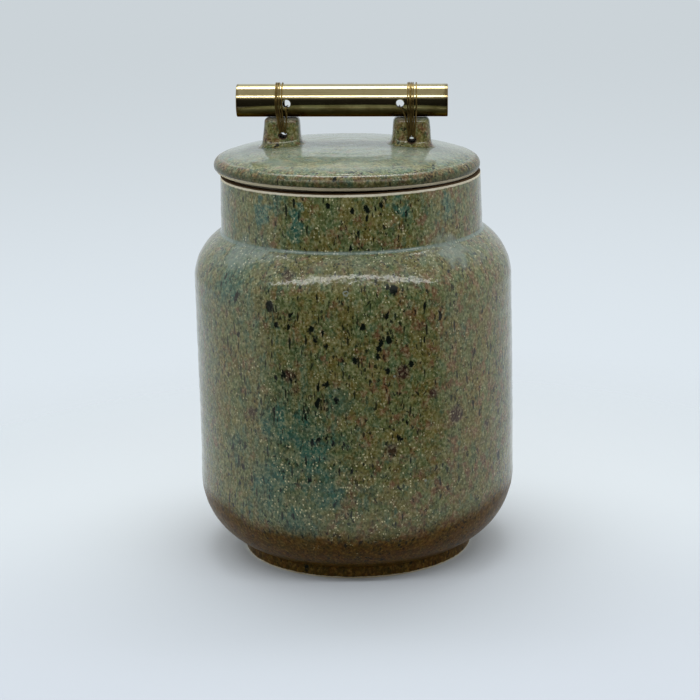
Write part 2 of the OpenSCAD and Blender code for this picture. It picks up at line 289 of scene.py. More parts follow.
def make_lug(name, x, top_w, base_w, hole_x, hole_z, skew):
    """A clay lug luted to the dome: softly square in plan, with its foot smoothed into the dome."""
    segments, fillet, round_top = 96, 3.0, 2.0
    heights = [0, 0.1, 0.25, 0.5, 0.8, 1.2, 1.7, 2.3, 3.0]
    heights += [3.0 + (LUG_H - round_top - 3.0) * i / 10 for i in range(1, 11)]
    heights += [LUG_H - round_top + round_top * math.sin(math.radians(t)) for t in (15, 30, 45, 60, 75, 90)]
    verts, faces = [], []
    power = 2 / 3.4

    def ring(scale_in, h, squeeze=1.0):
        share = h / LUG_H
        half_x = (base_w + (top_w - base_w) * share) / 2
        half_y = (LUG_BASE_T + (LUG_TOP_T - LUG_BASE_T) * share) / 2
        out = []
        for k in range(segments):
            a = 2 * math.pi * k / segments
            c, s = math.cos(a), math.sin(a)
            u = math.copysign(abs(c) ** power, c)
            v = math.copysign(abs(s) ** power, s)
            px = x + skew * share + u * (half_x + scale_in) * squeeze
            py = v * (half_y + scale_in) * squeeze
            blend = min(1, h / 7) ** 2 * (3 - 2 * min(1, h / 7))
            base = dome_height(math.hypot(px, py)) * (1 - blend) + LUG_BASE_Z * blend
            n = noise.noise(Vector((px, py, base + h)) / 4.5)
            grow = 0.16 * n * min(1, h / 3)
            out.append((px + grow * u, py + grow * v, base + h - 0.1 * (h < 0.05) + 0.06 * n * (squeeze < 1)))
        return out

    rings = []
    for h in heights:
        flare = (fillet - math.sqrt(max(0, fillet**2 - (fillet - min(h, fillet)) ** 2))) * 0.8
        over = max(0, h - (LUG_H - round_top))
        rounding = round_top - math.sqrt(max(0, round_top**2 - over**2))
        rings.append(ring(flare - rounding, h))
    for squeeze in (0.8, 0.6, 0.4, 0.2):
        rings.append(ring(-round_top, LUG_H, squeeze))
    for r in rings:
        verts += r
    count = len(rings)
    for i in range(count - 1):
        for k in range(segments):
            n = (k + 1) % segments
            faces.append((i * segments + k, i * segments + n, (i + 1) * segments + n, (i + 1) * segments + k))
    faces.append(tuple((count - 1) * segments + k for k in range(segments)))
    faces.append(tuple(k for k in reversed(range(segments))))
    lug = smooth_mesh(name, verts, faces, HANDLE_PLACE, 60)
    cut_away(lug, [bore(hole_x, hole_z, HOLE_R, HOLE_FALL, lug_half(hole_z) + 0.05, 0.55, HANDLE_PLACE)], 60)
    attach(lug, "lid")
    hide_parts("lid")
    return lug


def make_tube():
    half, ease = TUBE_L / 2, 0.4
    profile = [(TUBE_IN_R, -half + 0.25), (TUBE_IN_R + 0.25, -half)]
    profile += arc(TUBE_R - ease, -half + ease, ease, -90, 0, 0.06)
    profile += [(TUBE_R, -half + 12), (TUBE_R, 0), (TUBE_R, half - 12)]
    profile += arc(TUBE_R - ease, half - ease, ease, 0, 90, 0.06)
    profile += [(TUBE_IN_R + 0.25, half), (TUBE_IN_R, half - 0.25)]
    profile.append(profile[0])
    lay = Matrix.Translation((TUBE_X * MM, 0, TUBE_Z * MM)) @ Matrix.Rotation(math.pi / 2, 4, "Y")
    tube = turned("handle_tube_turned", profile, 192, HANDLE_PLACE @ lay, sharp=30)
    bm = bmesh.new()
    bm.from_mesh(tube.data)
    bmesh.ops.remove_doubles(bm, verts=bm.verts, dist=1e-7)
    bmesh.ops.recalc_face_normals(bm, faces=bm.faces)
    bm.to_mesh(tube.data)
    bm.free()
    holes = [bore(x, TUBE_Z - CROSS_DROP, CROSS_R, CROSS_FALL, TUBE_R + 0.02, 0.4, HANDLE_PLACE) for x in CROSS_X]
    cut_away(tube, holes, 30)
    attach(tube, "lid")
    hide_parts("handle_tube")
    return tube


# ---- wire bindings ----


def lug_half(z):
    return LUG_TOP_T / 2 + (LUG_BASE_T - LUG_TOP_T) / 2 * (LUG_TOP_Z - z) / LUG_H


def hole_slot(k, n, direction):
    r = HOLE_R - WIRE_GAP - WIRE_R
    step = 2 * math.asin((WIRE_R + WIRE_GAP / 3) / r)
    a = math.pi / 2 - direction * (k - n / 2) * step
    return r * math.cos(a), r * math.sin(a)


def through_lug(x, z, place):
    y = lug_half(z) + WIRE_GAP + WIRE_R
    drop = y * math.tan(math.radians(HOLE_FALL))
    bend = 2 * WIRE_R
    turns = [math.radians(a) for a in (0, 30, 60, 90)]
    front = [(x + place[0], -y + bend * (1 - math.cos(a)), z + place[1] + drop + bend * (1 - math.sin(a))) for a in turns]
    back = [(x + place[0], y - bend * (1 - math.cos(a)), z + place[1] - drop + bend * (1 - math.sin(a))) for a in reversed(turns)]
    return front + back


def over_tube(x, lean):
    r = TUBE_R + WIRE_GAP + WIRE_R
    return [
        (x + lean * math.cos(math.radians(a)), r * math.cos(math.radians(a)), TUBE_Z + r * math.sin(math.radians(a)))
        for a in range(-18, 199, 12)
    ]


def binding_route(cross_x, lug_x, hole_z, turns, direction):
    n = len(turns)
    y = TUBE_R + WIRE_GAP
    fall = math.tan(math.radians(CROSS_FALL))
    z = TUBE_Z - CROSS_DROP
    low = z - CROSS_R + WIRE_R + WIRE_GAP
    route = [(cross_x - 0.4, y + 1.5, low - (y + 1.5) * fall), (cross_x - 0.2, 0, low + 0.2)]
    route += [(cross_x, -y + 0.5, low + (y - 0.5) * fall)]
    route += [(cross_x + 0.25 * direction, -y - WIRE_R * 0.6, low + y * fall - WIRE_R)]
    near = lug_x - 2.2 * direction
    route += [(near + 0.35 * (cross_x - near), -y - WIRE_R, TUBE_Z - 6.2)]
    route += through_lug(lug_x, hole_z, hole_slot(0, n, direction))
    for k in range(1, n + 1):
        route += over_tube(lug_x + turns[k - 1], 0.15 * math.sin(k * 2.4))
        route += through_lug(lug_x, hole_z, hole_slot(k, n, direction))
    last = hole_slot(n, n, direction)
    back = lug_half(hole_z) + WIRE_GAP + WIRE_R
    route.append((lug_x + last[0] + 0.2, back + 0.2, hole_z + last[1] - back * math.tan(math.radians(HOLE_FALL)) + 3.4))
    return route


def softened(points, step):
    """A smooth line through the points, as wire bends."""
    pts = [Vector(p) for p in points]
    pts = [pts[0] * 2 - pts[1]] + pts + [pts[-1] * 2 - pts[-2]]
    out = []
    for a, b, c, d in zip(pts, pts[1:], pts[2:], pts[3:]):
        t0, t1 = 0, max(1e-4, (b - a).length ** 0.5)
        t2 = t1 + max(1e-4, (c - b).length ** 0.5)
        t3 = t2 + max(1e-4, (d - c).length ** 0.5)
        n = max(2, int((c - b).length / step))
        for i in range(n):
            t = t1 + (t2 - t1) * i / n
            a1 = a * ((t1 - t) / (t1 - t0)) + b * ((t - t0) / (t1 - t0))
            a2 = b * ((t2 - t) / (t2 - t1)) + c * ((t - t1) / (t2 - t1))
            a3 = c * ((t3 - t) / (t3 - t2)) + d * ((t - t2) / (t3 - t2))
            b1 = a1 * ((t2 - t) / (t2 - t0)) + a2 * ((t - t0) / (t2 - t0))
            b2 = a2 * ((t3 - t) / (t3 - t1)) + a3 * ((t - t1) / (t3 - t1))
            out.append(b1 * ((t2 - t) / (t2 - t1)) + b2 * ((t - t1) / (t2 - t1)))
    out.append(pts[-2])
    return out


def make_binding(name, node, route):
    line = softened(route, 0.7)
    sides = 12
    tangent = (line[1] - line[0]).normalized()
    normal = tangent.orthogonal().normalized()
    verts, faces = [], []
    for i, p in enumerate(line):
        ahead = line[min(i + 1, len(line) - 1)] - line[max(i - 1, 0)]
        new = ahead.normalized()
        normal = (tangent.rotation_difference(new) @ normal).normalized()
        tangent = new
        side = tangent.cross(normal)
        r = WIRE_R * (1 + 0.03 * noise.noise(p / 1.5))
        for k in range(sides):
            a = 2 * math.pi * k / sides
            verts.append(tuple(p + r * (normal * math.cos(a) + side * math.sin(a))))
    for i in range(len(line) - 1):
        for k in range(sides):
            n = (k + 1) % sides
            faces.append((i * sides + k, i * sides + n, (i + 1) * sides + n, (i + 1) * sides + k))
    faces.append(tuple(reversed(range(sides))))
    faces.append(tuple((len(line) - 1) * sides + k for k in range(sides)))
    wire = smooth_mesh(name, verts, faces, HANDLE_PLACE, 50)
    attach(wire, "lid")
    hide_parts(node)
    return wire


# ---- finishes ----


class Sheet:
    """Places and joins the nodes of one material or group, so that a finish reads as a list of steps."""

    def __init__(self, tree):
        self.tree = tree

    def node(self, kind, **values):
        n = self.tree.nodes.new(kind)
        for key, value in values.items():
            setattr(n, key, value)
        return n

    def put(self, socket, value):
        if isinstance(value, bpy.types.NodeSocket):
            self.tree.links.new(value, socket)
        elif value is not None:
            socket.default_value = value

    def math(self, operation, a, b=None, c=None, clamp=False):
        n = self.node("ShaderNodeMath", operation=operation, use_clamp=clamp)
        for socket, value in zip(n.inputs, (a, b, c)):
            self.put(socket, value)
        return n.outputs[0]

    def vector(self, operation, a, b=None, scale=None):
        n = self.node("ShaderNodeVectorMath", operation=operation)
        self.put(n.inputs[0], a)
        self.put(n.inputs[1], b)
        if scale is not None:
            self.put(n.inputs["Scale"], scale)
        return n.outputs["Value"] if operation in ("LENGTH", "DISTANCE", "DOT_PRODUCT") else n.outputs["Vector"]

    def split(self, v):
        return self.node_in("ShaderNodeSeparateXYZ", v).outputs

    def node_in(self, kind, value, **values):
        n = self.node(kind, **values)
        self.put(n.inputs[0], value)
        return n

    def noise(self, v, scale, detail=2.0, roughness=0.5, distortion=0.0):
        n = self.node("ShaderNodeTexNoise")
        self.put(n.inputs["Vector"], v)
        n.inputs["Scale"].default_value = scale
        n.inputs["Detail"].default_value = detail
        n.inputs["Roughness"].default_value = roughness
        n.inputs["Distortion"].default_value = distortion
        return n.outputs["Fac"]

    def wander(self, v, scale, reach):
        """The same coordinates pushed about by soft noise, so that what is drawn on them loses its regular outline."""
        n = self.node("ShaderNodeTexNoise")
        self.put(n.inputs["Vector"], v)
        n.inputs["Scale"].default_value = scale
        n.inputs["Detail"].default_value = 1.0
        push = self.vector("SUBTRACT", n.outputs["Color"], (0.5, 0.5, 0.5))
        return self.vector("ADD", v, self.vector("SCALE", push, scale=reach * 3))

    def cells(self, v, scale, randomness=1.0):
        n = self.node("ShaderNodeTexVoronoi")
        self.put(n.inputs["Vector"], v)
        n.inputs["Scale"].default_value = scale
        n.inputs["Randomness"].default_value = randomness
        return n.outputs["Distance"], n.outputs["Color"]

    def ramp(self, value, low, high, out_low=0.0, out_high=1.0, smooth=True):
        n = self.node("ShaderNodeMapRange", interpolation_type="SMOOTHSTEP" if smooth else "LINEAR")
        self.put(n.inputs["Value"], value)
        for key, v in (("From Min", low), ("From Max", high), ("To Min", out_low), ("To Max", out_high)):
            self.put(n.inputs[key], v)
        return n.outputs["Result"]

    def mix(self, share, a, b, blend="MIX"):
        n = self.node("ShaderNodeMix", data_type="RGBA", blend_type=blend)
        self.put(n.inputs["Factor"], share)
        self.put(n.inputs[6], a)
        self.put(n.inputs[7], b)
        return n.outputs[2]

    def blend(self, share, a, b):
        n = self.node("ShaderNodeMix", data_type="FLOAT")
        for i, value in ((0, share), (2, a), (3, b)):
            self.put(n.inputs[i], value)
        return n.outputs[0]


def new_group(name, inputs, outputs):
    tree = bpy.data.node_groups.new(name, "ShaderNodeTree")
    for label, kind, value in inputs:
        s = tree.interface.new_socket(name=label, in_out="INPUT", socket_type=kind)
        if value is not None:
            s.default_value = value
    for label, kind in outputs:
        tree.interface.new_socket(name=label, in_out="OUTPUT", socket_type=kind)
    sheet = Sheet(tree)
    return sheet, sheet.node("NodeGroupInput").outputs, sheet.node("NodeGroupOutput").inputs


def speckled_glaze_group():
    """Olive stoneware glaze: soft patches on an olive ground, fine grain, pale crystals and iron specks."""
    s, take, give = new_group(
        "speckled_glaze",
        [
            ("Place", "NodeSocketVector", None),
            ("Run", "NodeSocketVector", None),
            ("Teal", "NodeSocketFloat", 0.2),
            ("Rust", "NodeSocketFloat", 0.2),
            ("Dark", "NodeSocketFloat", 0.0),
            ("Blotch", "NodeSocketFloat", 0.0),
            ("Mark", "NodeSocketFloat", 0.0),
            ("Crystals", "NodeSocketFloat", 1.0),
            ("Specks", "NodeSocketFloat", 0.0),
        ],
        [("Colour", "NodeSocketColor"), ("Roughness", "NodeSocketFloat"), ("Height", "NodeSocketFloat")],
    )
    place, run = take["Place"], take["Run"]
    soft = s.wander(run, 0.5, 1.0)
    # Ground: olive and sage, with soft patches of mauve-brown, ochre and green
    ground = s.mix(s.ramp(s.noise(soft, 0.1, 3.0, 0.6), 0.42, 0.58), srgb(114, 112, 62), srgb(102, 115, 72))
    patch = s.noise(s.vector("ADD", soft, (37, 11, 5)), 0.2, 3.0, 0.6)
    rust = s.math("ADD", take["Rust"], s.math("MULTIPLY", s.math("SUBTRACT", patch, 0.5), 4.6))
    ground = s.mix(s.ramp(rust, 0.15, 0.9, 0.0, 0.85), ground, srgb(124, 87, 66))
    ochre = s.noise(s.vector("ADD", soft, (5, 23, 61)), 0.26, 3.0, 0.6)
    ground = s.mix(s.ramp(ochre, 0.52, 0.66, 0.0, 0.7), ground, srgb(120, 104, 52))
    green = s.noise(s.vector("ADD", soft, (71, 3, 19)), 0.24, 3.0, 0.6)
    ground = s.mix(s.ramp(green, 0.52, 0.66, 0.0, 0.6), ground, srgb(72, 106, 76))
    # Teal where the glaze pools: a soft tint, and bluer in upright streaks
    ground = s.mix(s.ramp(take["Teal"], 0.15, 1.0, 0.0, 0.8), ground, srgb(84, 108, 86))
    streak = s.noise(s.vector("MULTIPLY", soft, (1, 1, 0.5)), 0.3, 3.0, 0.6)
    teal = s.math("ADD", take["Teal"], s.math("MULTIPLY", s.math("SUBTRACT", streak, 0.5), 3.4))
    ground = s.mix(s.ramp(teal, 0.3, 0.9, 0.0, 0.8), ground, srgb(74, 108, 88))
    ground = s.mix(s.ramp(teal, 0.85, 1.3, 0.0, 0.75), ground, srgb(52, 106, 98))
    ground = s.mix(take["Dark"], ground, srgb(82, 54, 2))
    depth = s.math("MULTIPLY", s.math("SUBTRACT", s.noise(s.vector("ADD", soft, (13, 47, 29)), 0.3, 2.0, 0.6), 0.5), 3.0)
    ground = s.mix(s.ramp(depth, 0.0, 1.0, 0.0, 0.35, smooth=False), ground, s.mix(take["Dark"], srgb(168, 164, 122), srgb(140, 104, 20)))
    ground = s.mix(s.ramp(depth, 0.0, -1.0, 0.0, 0.6, smooth=False), ground, srgb(32, 35, 14))
    ground = s.mix(take["Blotch"], ground, srgb(66, 46, 40))
    # Fine grain, drawn out a little down the pot: lighter above the middle tone and darker below it
    grain = s.noise(s.wander(run, 1.3, 0.25), 0.85, 2.0, 0.55)
    tone = s.math("MULTIPLY", s.math("SUBTRACT", grain, 0.5), 3.4)
    pale = s.mix(take["Dark"], srgb(194, 193, 156), srgb(162, 122, 24))
    ground = s.mix(s.ramp(tone, 0.0, 1.0, 0.0, 0.56, smooth=False), ground, pale)
    ground = s.mix(s.ramp(tone, 0.0, -1.0, 0.0, 0.8, smooth=False), ground, srgb(28, 32, 10))
    # Pits and pale crystals, the crystals in clusters
    far, cell = s.cells(s.wander(run, 1.4, 0.3), 0.95)
    pick = s.node_in("ShaderNodeSeparateColor", cell).outputs
    pits = s.math("MULTIPLY", s.ramp(far, 0.42, 0.2), s.ramp(pick["Red"], 0.8, 0.86))
    ground = s.mix(s.math("MULTIPLY", pits, 0.8), ground, srgb(26, 28, 20))
    cluster = s.ramp(s.noise(place, 0.09, 3.0, 0.6), 0.42, 0.6, 0.3, 1.0)
    cluster = s.math("MULTIPLY", cluster, take["Crystals"])
    points = s.math("MULTIPLY", s.ramp(far, 0.42, 0.2), s.ramp(pick["Blue"], 0.76, 0.82))
    far, cell = s.cells(place, 0.47)
    pick = s.node_in("ShaderNodeSeparateColor", cell).outputs
    larger = s.math("MULTIPLY", s.ramp(far, 0.26, 0.12), s.ramp(pick["Green"], 0.88, 0.91))
    cluster = s.math("SUBTRACT", cluster, s.math("MULTIPLY", take["Dark"], 1.2))
    crystal = s.math("MULTIPLY", s.math("MAXIMUM", points, larger), cluster, clamp=True)
    ground = s.mix(s.math("MULTIPLY", crystal, 0.85), ground, srgb(224, 222, 186))
    # Iron specks: ragged, drawn out down the pot, and thicker in some places than in others
    bent = s.wander(s.wander(s.vector("MULTIPLY", place, (1, 1, 0.5)), 0.35, 1.2), 1.6, 0.4)
    crowd = s.math("MULTIPLY", s.math("SUBTRACT", s.noise(place, 0.05, 2.0), 0.5), 2.0)
    crowd = s.math("ADD", crowd, take["Specks"])
    far, cell = s.cells(bent, 0.24)
    pick = s.node_in("ShaderNodeSeparateColor", cell).outputs
    chosen = s.ramp(s.math("ADD", pick["Green"], crowd), 0.7, 0.74)
    large = s.ramp(s.math("SUBTRACT", s.ramp(pick["Red"], 0.0, 1.0, 0.09, 0.28), far), -0.05, 0.05)
    large = s.math("MULTIPLY", large, chosen)
    far, cell = s.cells(bent, 0.55)
    pick = s.node_in("ShaderNodeSeparateColor", cell).outputs
    chosen = s.ramp(s.math("ADD", pick["Green"], crowd), 0.5, 0.56)
    small = s.ramp(s.math("SUBTRACT", s.ramp(pick["Red"], 0.0, 1.0, 0.12, 0.36), far), -0.05, 0.05)
    small = s.math("MULTIPLY", s.math("MULTIPLY", small, chosen), 0.85)
    far, cell = s.cells(s.wander(s.vector("MULTIPLY", place, (1, 1, 0.2)), 0.5, 0.5), 0.5)
    pick = s.node_in("ShaderNodeSeparateColor", cell).outputs
    chosen = s.ramp(s.math("ADD", pick["Green"], crowd), 0.63, 0.67)
    slender = s.ramp(s.math("SUBTRACT", s.ramp(pick["Red"], 0.0, 1.0, 0.12, 0.28), far), -0.05, 0.05)
    slender = s.math("MULTIPLY", s.math("MULTIPLY", slender, chosen), 0.9)
    specks = s.math("MAXIMUM", s.math("MAXIMUM", large, small), s.math("MAXIMUM", slender, take["Mark"]))
    ground = s.mix(specks, ground, srgb(17, 25, 20))
    s.put(give["Colour"], ground)
    rough = s.ramp(s.noise(place, 0.5, 3.0, 0.6), 0.3, 0.7, 0.07, 0.15)
    s.put(give["Roughness"], s.math("ADD", rough, s.math("MULTIPLY", crystal, 0.2)))
    height = s.math("ADD", s.math("MULTIPLY", tone, 0.06), s.math("MULTIPLY", s.noise(place, 0.3, 2.0, 0.5), 1.6))
    height = s.math("SUBTRACT", height, s.math("MULTIPLY", specks, 0.25))
    s.put(give["Height"], s.math("ADD", height, s.math("MULTIPLY", crystal, 0.2)))
    return s.tree


def bare_clay_group():
    """Unglazed stoneware: pale, dry and finely gritty."""
    s, take, give = new_group(
        "bare_clay",
        [("Place", "NodeSocketVector", None)],
        [("Colour", "NodeSocketColor"), ("Roughness", "NodeSocketFloat"), ("Height", "NodeSocketFloat")],
    )
    place = take["Place"]
    grit_far, grit = s.cells(place, 2.2)
    pick = s.node_in("ShaderNodeSeparateColor", grit).outputs
    soft = s.noise(place, 0.12, 3.0, 0.6)
    clay = s.mix(s.ramp(soft, 0.35, 0.65), srgb(244, 241, 224), srgb(230, 226, 206))
    dark = s.math("MULTIPLY", s.ramp(pick["Red"], 0.85, 0.9), s.ramp(grit_far, 0.3, 0.12))
    clay = s.mix(s.math("MULTIPLY", dark, 0.6), clay, srgb(120, 104, 80))
    s.put(give["Colour"], clay)
    s.put(give["Roughness"], s.ramp(s.noise(place, 0.8, 2.0), 0.3, 0.7, 0.7, 0.85))
    s.put(give["Height"], s.math("ADD", s.noise(place, 1.6, 4.0, 0.7), s.math("MULTIPLY", pick["Green"], 0.3)))
    return s.tree


def metal_wear_group():
    """Drawn brass: fine lines along its length, with a little tarnish."""
    s, take, give = new_group(
        "metal_wear",
        [("Place", "NodeSocketVector", None), ("Length", "NodeSocketFloat", 0.03)],
        [("Lines", "NodeSocketFloat"), ("Tarnish", "NodeSocketFloat")],
    )
    drawn = s.node_in("ShaderNodeCombineXYZ", None)
    parts = s.split(take["Place"])
    s.put(drawn.inputs[0], s.math("MULTIPLY", parts[0], take["Length"]))
    s.put(drawn.inputs[1], parts[1])
    s.put(drawn.inputs[2], parts[2])
    s.put(give["Lines"], s.noise(drawn.outputs[0], 3.2, 3.0, 0.6))
    s.put(give["Tarnish"], s.ramp(s.noise(take["Place"], 0.12, 4.0, 0.65), 0.45, 0.7))
    return s.tree


def new_material(name):
    mat = bpy.data.materials.new(name)
    mat.use_nodes = True
    mat.node_tree.nodes.clear()
    s = Sheet(mat.node_tree)
    shader = s.node("ShaderNodeBsdfPrincipled")
    out = s.node("ShaderNodeOutputMaterial")
    s.put(out.inputs["Surface"], shader.outputs[0])
    place = s.vector("SCALE", s.node("ShaderNodeTexCoord").outputs["Object"], scale=1000.0)
    return mat, s, shader, place


def use_group(s, tree, **values):
    n = s.node("ShaderNodeGroup", node_tree=tree)
    for key, value in values.items():
        s.put(n.inputs[key], value)
    return n.outputs


def pool(s, place, centre, reach, tall=1.0):
    """How much a named place on the pot is covered: 1 in its middle and 0 past its reach."""
    flat = s.vector("MULTIPLY", place, (1, 1, 1 / tall))
    away = s.vector("DISTANCE", flat, (centre[0], centre[1], centre[2] / tall))
    return s.ramp(away, reach, reach * 0.3)


def spread(s, place, pools, tall=1.0):
    """The sum of several named places, each with its middle, reach and amount."""
    total = 0.0
    for centre, reach, amount in pools:
        total = s.math("ADD", total, s.math("MULTIPLY", pool(s, place, centre, reach, tall), amount))
    return total


def add_bump(s, shader, height, strength, distance):
    bump = s.node("ShaderNodeBump")
    bump.inputs["Strength"].default_value = strength
    bump.inputs["Distance"].default_value = distance
    s.put(bump.inputs["Height"], height)
    s.put(shader.inputs["Normal"], bump.outputs["Normal"])


def glaze_over_clay(s, shader, place, bare, glaze, groups, painted_shade=0.0, matt=0.0, pale_veil_and_sheen=0.0):
    """Joins the glaze and the bare clay at a slightly ragged line. The shade amount darkens the clay as painted shade,
    matt dulls the glaze, and the veil lays a pale film on the glaze that is in places a painted sheen or highlight.
    """
    clay = use_group(s, groups["clay"], Place=place)
    # Painted shade: the clay is darkened towards deep brown where it lies in shadow
    clay_colour = s.mix(painted_shade, clay["Colour"], srgb(80, 64, 46))
    # A pale film over the glaze, in places a painted sheen or highlight
    glaze_colour = s.mix(pale_veil_and_sheen, glaze["Colour"], srgb(143, 154, 147))
    s.put(shader.inputs["Base Color"], s.mix(bare, glaze_colour, clay_colour))
    rough = s.math("ADD", glaze["Roughness"], s.math("MULTIPLY", matt, 0.2))
    s.put(shader.inputs["Roughness"], s.blend(bare, rough, clay["Roughness"]))
    s.put(shader.inputs["Specular IOR Level"], s.blend(s.math("MAXIMUM", bare, matt), 0.5, 0.06))
    shader.inputs["IOR"].default_value = 1.5
    add_bump(s, shader, s.blend(bare, glaze["Height"], clay["Height"]), 0.3, 0.0003)


def jar_glaze(groups):
    mat, s, shader, place = new_material("jar_glaze")
    x, y, z = s.split(place)
    ragged = s.math("MULTIPLY", s.math("SUBTRACT", s.noise(place, 0.5, 2.0), 0.5), 0.7)
    height = s.math("ADD", z, ragged)
    bare = s.math("MAXIMUM", s.ramp(height, 189.75, 190.0), s.ramp(height, 1.0, 0.7))
    loose = s.wander(place, 0.2, 5.0)
    teal = s.math("ADD", spread(s, loose, TEAL_POOLS, 1.35), s.ramp(s.noise(place, 0.018, 2.0), 0.35, 0.7, 0.0, 0.18))
    seam = s.math("ABSOLUTE", s.math("SUBTRACT", z, NECK_Z + 0.2))
    radius = s.vector("LENGTH", s.vector("MULTIPLY", place, (1, 1, 0)))
    seam = s.math("MULTIPLY", s.ramp(seam, 1.0, 0.35), s.ramp(radius, 60, 62))
    seam = s.math("MULTIPLY", seam, s.ramp(s.noise(place, 0.3, 3.0, 0.6), 0.3, 0.6, 0.4, 1.0))
    teal = s.math("ADD", teal, s.math("MULTIPLY", seam, 1.6))
    # Where the shoulder flattens, and most at its two sides, the glaze is paler and milky: partly the glaze's own
    # colour, partly painted sheen
    milky_and_sheen = s.ramp(s.noise(s.vector("ADD", place, (9, 4, 2)), 0.12, 3.0, 0.6), 0.35, 0.65, 0.04, 0.24)
    milky_and_sheen = s.math("MULTIPLY", s.math("MULTIPLY", s.ramp(z, 148, 158), s.ramp(z, 165.5, 163.5)), milky_and_sheen)
    cloudy_sheen = spread(s, loose, MILKY_SHEEN_POOLS)
    milky_and_sheen = s.math("MAXIMUM", milky_and_sheen, cloudy_sheen)
    teal = s.math("ADD", teal, s.math("MULTIPLY", cloudy_sheen, 0.9))
    # The lower curve and the foot turn dark brown and dull: partly thinner glaze, partly painted shade and warm bounce
    # light from beneath
    wave = s.math("MULTIPLY", s.math("SUBTRACT", s.noise(place, 0.03, 2.0), 0.5), 9.0)
    wave = s.math("ADD", wave, s.math("MULTIPLY", ragged, 10.0))
    line = s.math("SUBTRACT", s.math("ADD", z, wave), s.ramp(y, -78, -36, 30, 39))
    thin_glaze_and_shade = s.ramp(line, 4, -7)
    warm = s.math("ADD", s.ramp(x, -10, 60, 0.06, 0.28), s.math("MULTIPLY", thin_glaze_and_shade, 0.5))
    glaze = use_group(
        s, groups["glaze"], Place=place, Run=s.vector("MULTIPLY", place, (1, 1, 0.78)), Teal=teal,
        Rust=warm, Dark=s.math("MULTIPLY", thin_glaze_and_shade, 0.8),
        Blotch=spread(s, s.wander(place, 0.4, 0.8), BROWN_CLOUDS),
        Mark=spread(s, s.wander(place, 1.1, 0.7), IRON_SPOTS, 1.4),
        Crystals=s.math("ADD", spread(s, loose, CRYSTAL_FIELDS), s.math("ADD", seam, s.math("MULTIPLY", milky_and_sheen, 4.0))),
        Specks=s.math("SUBTRACT", s.math("MULTIPLY", pool(s, place, (-8, -78, 122), 62), 0.28), 0.05),
    )
    # The rim's top under the lid's overhang is darkened: painted shade
    painted_shade = s.ramp(s.math("ADD", z, s.math("MULTIPLY", ragged, 0.3)), 190.8, 191.0, 0.1, 1.0)
    ring = s.math("ABSOLUTE", s.math("SUBTRACT", s.vector("DISTANCE", s.wander(place, 0.8, 0.5), PALE_RING), 1.3))
    dots = s.math("ADD", spread(s, place, PALE_DOTS), s.ramp(ring, 0.5, 0.15, 0.0, 0.8))
    pale_veil_and_sheen = s.math("MAXIMUM", s.math("MULTIPLY", seam, 0.7), s.math("MAXIMUM", milky_and_sheen, dots), clamp=True)
    glaze_over_clay(s, shader, place, bare, glaze, groups, painted_shade=painted_shade, matt=thin_glaze_and_shade, pale_veil_and_sheen=pale_veil_and_sheen)
    return mat


def lid_glaze(groups):
    mat, s, shader, place = new_material("lid_glaze")
    z = s.split(place)[2]
    ragged = s.math("MULTIPLY", s.math("SUBTRACT", s.noise(place, 0.5, 2.0), 0.5), 0.5)
    bare = s.ramp(s.math("ADD", z, ragged), -0.95, -1.15)
    radius = s.vector("LENGTH", s.vector("MULTIPLY", place, (1, 1, 0)))
    edge = s.ramp(radius, 61.0, 63.6)
    # Paler grey-green over the top, fading out towards the edge: part glaze colour, part painted sheen of the pale
    # backdrop
    pale_veil_and_sheen = s.math("MULTIPLY", s.ramp(s.noise(place, 0.07, 3.0, 0.6), 0.35, 0.65, 0.32, 0.58), s.ramp(radius, 62, 54))
    # Below the break of the edge the glaze hangs thicker and greener, and is darkened there as painted shade under the
    # rounded edge
    hang_and_shade = s.ramp(z, 2.4, 0.8)
    rust = s.math("MULTIPLY", edge, s.math("SUBTRACT", 0.7, s.math("MULTIPLY", hang_and_shade, 0.7)))
    glaze = use_group(
        s, groups["glaze"], Place=place, Run=place, Teal=0.4, Dark=s.math("MULTIPLY", edge, 0.2),
        Rust=s.math("ADD", rust, 0.1), Mark=s.math("MULTIPLY", hang_and_shade, 0.4),
        Crystals=s.math("MULTIPLY", edge, 0.8),
    )
    matt = s.ramp(radius, 62.6, 63.5, 0.0, 0.65)
    glaze_over_clay(s, shader, place, bare, glaze, groups, matt=matt, pale_veil_and_sheen=pale_veil_and_sheen)
    return mat


def lug_glaze(groups):
    mat, s, shader, place = new_material("lug_glaze")
    z = s.split(place)[2]
    rust = s.math("ADD", 0.3, s.ramp(z, LUG_TOP_Z - 2.2, LUG_TOP_Z - 0.6, 0.0, 0.3))
    glaze = use_group(s, groups["glaze"], Place=place, Run=place, Teal=0.1, Rust=rust, Dark=0.12, Crystals=0.4)
    # The holes are pierced through to bare clay, darkened inside as painted shade
    level = s.vector("MULTIPLY", place, (1, 0, 1))
    inside = s.math(
        "MAXIMUM",
        s.ramp(s.vector("DISTANCE", level, (LEFT_HOLE_X, 0, LEFT_HOLE_Z)), HOLE_R + 0.45, HOLE_R + 0.15),
        s.ramp(s.vector("DISTANCE", level, (RIGHT_X, 0, RIGHT_HOLE_Z)), HOLE_R + 0.45, HOLE_R + 0.15),
    )
    # Paler top edge: glaze worn thin there, with a painted highlight
    worn_and_lit_top = s.ramp(z, LUG_TOP_Z - 1.6, LUG_TOP_Z - 0.4, 0.0, 0.4)
    glaze_over_clay(s, shader, place, inside, glaze, groups, painted_shade=1.0, pale_veil_and_sheen=worn_and_lit_top)
    return mat


def flange_clay(groups):
    mat, s, shader, place = new_material("flange_clay")
    clay = use_group(s, groups["clay"], Place=place)
    # The clay is darkened heavily: painted shade for the deep gap under the lid
    s.put(shader.inputs["Base Color"], s.mix(0.6, clay["Colour"], srgb(84, 70, 52)))
    s.put(shader.inputs["Roughness"], clay["Roughness"])
    add_bump(s, shader, clay["Height"], 0.4, 0.0003)
    return mat


